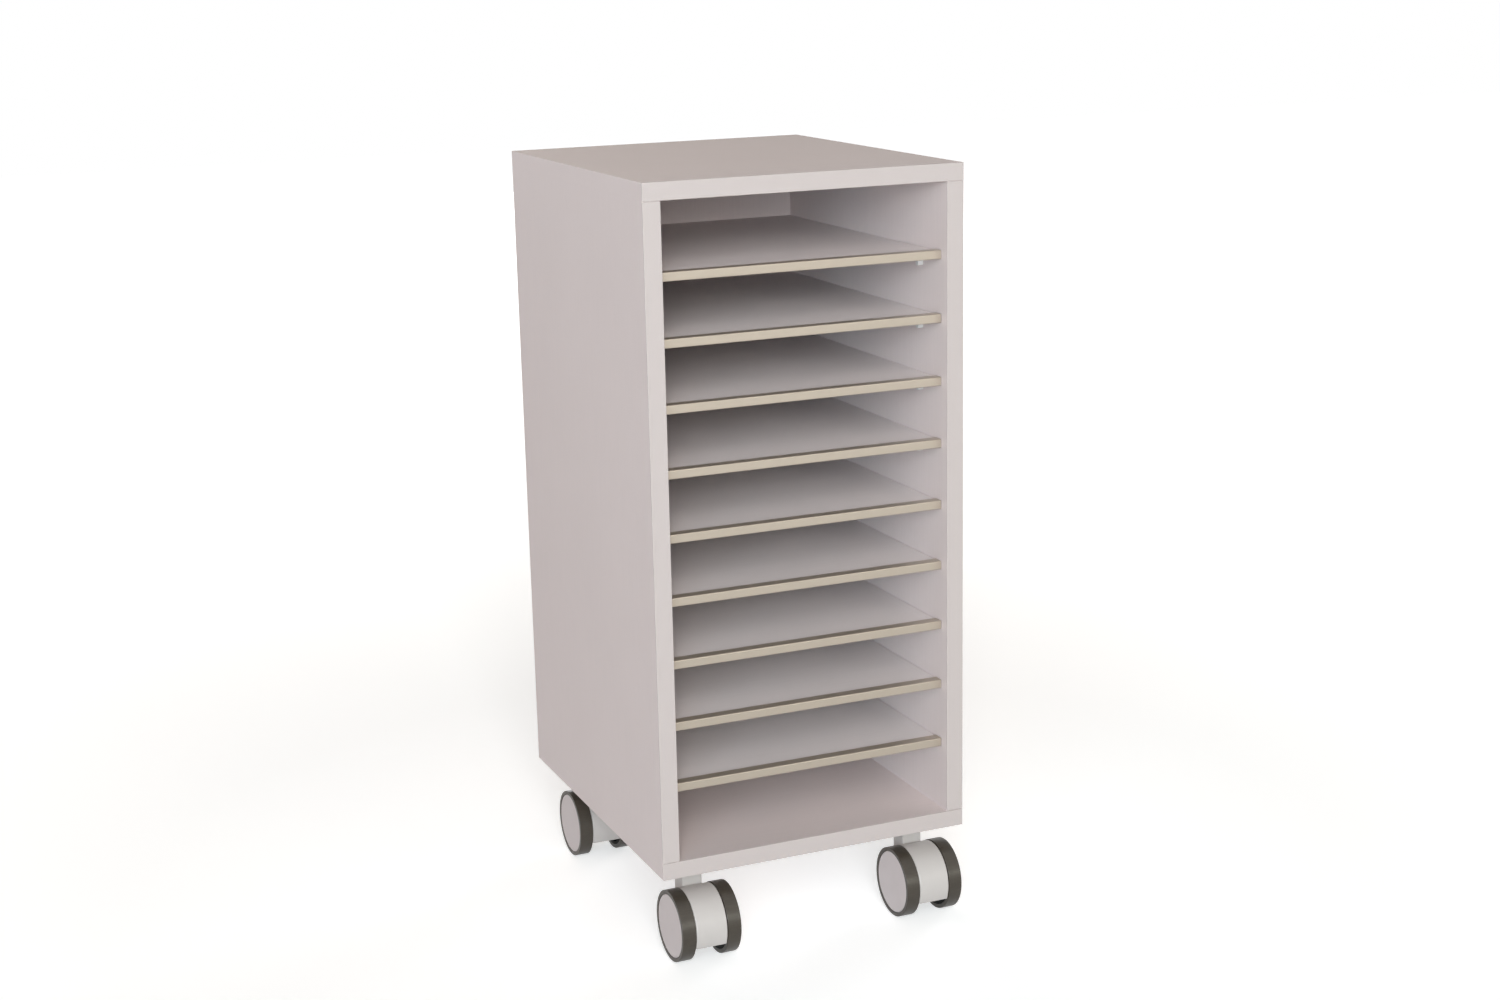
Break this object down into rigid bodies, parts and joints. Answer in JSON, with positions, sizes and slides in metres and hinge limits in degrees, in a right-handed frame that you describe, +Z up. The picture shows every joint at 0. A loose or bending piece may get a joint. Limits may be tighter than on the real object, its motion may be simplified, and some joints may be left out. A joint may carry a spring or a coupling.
{
  "type": "mobile shelving unit",
  "caption": "Narrow open-fronted cabinet of thin evenly spaced shelves with metal edge strips, on swivelling twin-wheel casters, for sorting and moving paper.",
  "frame": {"origin": "on the floor, under the middle of the whole unit's box, which counts the front wheels' overhang", "axes": "+Z up, -Y out of the open front, +X to the right seen from the front"},
  "size_m": [0.3434, 0.4204, 0.8],
  "materials": {
    "panel": "pale warm grey melamine-faced board, fine matt grain",
    "shelf": "pale grey melamine-faced thin board, matt",
    "strip": "champagne anodised, satin, brushed along its length",
    "caster_plastic": "pale grey moulded plastic, satin",
    "wheel_disc": "pale grey moulded plastic, satin",
    "tyre": "dark grey soft tread, matt",
    "steel": "zinc-plated steel"
  },
  "bodies": {
    "carcass": {"top_panel": "panel", "bottom_panel": "panel", "left_side_panel": "panel", "right_side_panel": "panel", "back_panel": "panel", "shelf_1": "shelf", "shelf_strip_1": "strip", "shelf_2": "shelf", "shelf_strip_2": "strip", "shelf_3": "shelf", "shelf_strip_3": "strip", "shelf_4": "shelf", "shelf_strip_4": "strip", "shelf_5": "shelf", "shelf_strip_5": "strip", "shelf_6": "shelf", "shelf_strip_6": "strip", "shelf_7": "shelf", "shelf_strip_7": "strip", "shelf_8": "shelf", "shelf_strip_8": "strip", "shelf_9": "shelf", "shelf_strip_9": "strip", "front_left_caster_plate": "steel", "front_left_caster_kingpin": "steel", "front_right_caster_plate": "steel", "front_right_caster_kingpin": "steel", "back_left_caster_plate": "steel", "back_left_caster_kingpin": "steel", "back_right_caster_plate": "steel", "back_right_caster_kingpin": "steel"},
    "front_left_swivel": {"front_left_caster_housing": "caster_plastic", "front_left_caster_axle": "steel"},
    "front_left_left_wheel": {"front_left_caster_left_wheel": "wheel_disc", "front_left_caster_left_tyre": "tyre"},
    "front_left_right_wheel": {"front_left_caster_right_wheel": "wheel_disc", "front_left_caster_right_tyre": "tyre"},
    "front_right_swivel": {"front_right_caster_housing": "caster_plastic", "front_right_caster_axle": "steel"},
    "front_right_left_wheel": {"front_right_caster_left_wheel": "wheel_disc", "front_right_caster_left_tyre": "tyre"},
    "front_right_right_wheel": {"front_right_caster_right_wheel": "wheel_disc", "front_right_caster_right_tyre": "tyre"},
    "back_left_swivel": {"back_left_caster_housing": "caster_plastic", "back_left_caster_axle": "steel"},
    "back_left_left_wheel": {"back_left_caster_left_wheel": "wheel_disc", "back_left_caster_left_tyre": "tyre"},
    "back_left_right_wheel": {"back_left_caster_right_wheel": "wheel_disc", "back_left_caster_right_tyre": "tyre"},
    "back_right_swivel": {"back_right_caster_housing": "caster_plastic", "back_right_caster_axle": "steel"},
    "back_right_left_wheel": {"back_right_caster_left_wheel": "wheel_disc", "back_right_caster_left_tyre": "tyre"},
    "back_right_right_wheel": {"back_right_caster_right_wheel": "wheel_disc", "back_right_caster_right_tyre": "tyre"}
  },
  "joints": [
    {"name": "front_left_swivel_turn", "type": "hinge", "parent": "carcass", "child": "front_left_swivel", "pos_m": [-0.12775, -0.14584, 0.09552], "axis": [0, 0, 1], "continuous": true},
    {"name": "front_left_left_wheel_roll", "type": "hinge", "parent": "front_left_swivel", "child": "front_left_left_wheel", "pos_m": [-0.12775, -0.17284, 0.03732], "axis": [1, 0, 0], "continuous": true},
    {"name": "front_left_right_wheel_roll", "type": "hinge", "parent": "front_left_swivel", "child": "front_left_right_wheel", "pos_m": [-0.12775, -0.17284, 0.03732], "axis": [1, 0, 0], "continuous": true},
    {"name": "front_right_swivel_turn", "type": "hinge", "parent": "carcass", "child": "front_right_swivel", "pos_m": [0.12775, -0.14584, 0.09552], "axis": [0, 0, 1], "continuous": true},
    {"name": "front_right_left_wheel_roll", "type": "hinge", "parent": "front_right_swivel", "child": "front_right_left_wheel", "pos_m": [0.12775, -0.17284, 0.03732], "axis": [1, 0, 0], "continuous": true},
    {"name": "front_right_right_wheel_roll", "type": "hinge", "parent": "front_right_swivel", "child": "front_right_right_wheel", "pos_m": [0.12775, -0.17284, 0.03732], "axis": [1, 0, 0], "continuous": true},
    {"name": "back_left_swivel_turn", "type": "hinge", "parent": "carcass", "child": "back_left_swivel", "pos_m": [-0.12775, 0.16616, 0.09552], "axis": [0, 0, 1], "continuous": true},
    {"name": "back_left_left_wheel_roll", "type": "hinge", "parent": "back_left_swivel", "child": "back_left_left_wheel", "pos_m": [-0.12775, 0.13916, 0.03732], "axis": [1, 0, 0], "continuous": true},
    {"name": "back_left_right_wheel_roll", "type": "hinge", "parent": "back_left_swivel", "child": "back_left_right_wheel", "pos_m": [-0.12775, 0.13916, 0.03732], "axis": [1, 0, 0], "continuous": true},
    {"name": "back_right_swivel_turn", "type": "hinge", "parent": "carcass", "child": "back_right_swivel", "pos_m": [0.12775, 0.16616, 0.09552], "axis": [0, 0, 1], "continuous": true},
    {"name": "back_right_left_wheel_roll", "type": "hinge", "parent": "back_right_swivel", "child": "back_right_left_wheel", "pos_m": [0.12775, 0.13916, 0.03732], "axis": [1, 0, 0], "continuous": true},
    {"name": "back_right_right_wheel_roll", "type": "hinge", "parent": "back_right_swivel", "child": "back_right_right_wheel", "pos_m": [0.12775, 0.13916, 0.03732], "axis": [1, 0, 0], "continuous": true}
  ]
}
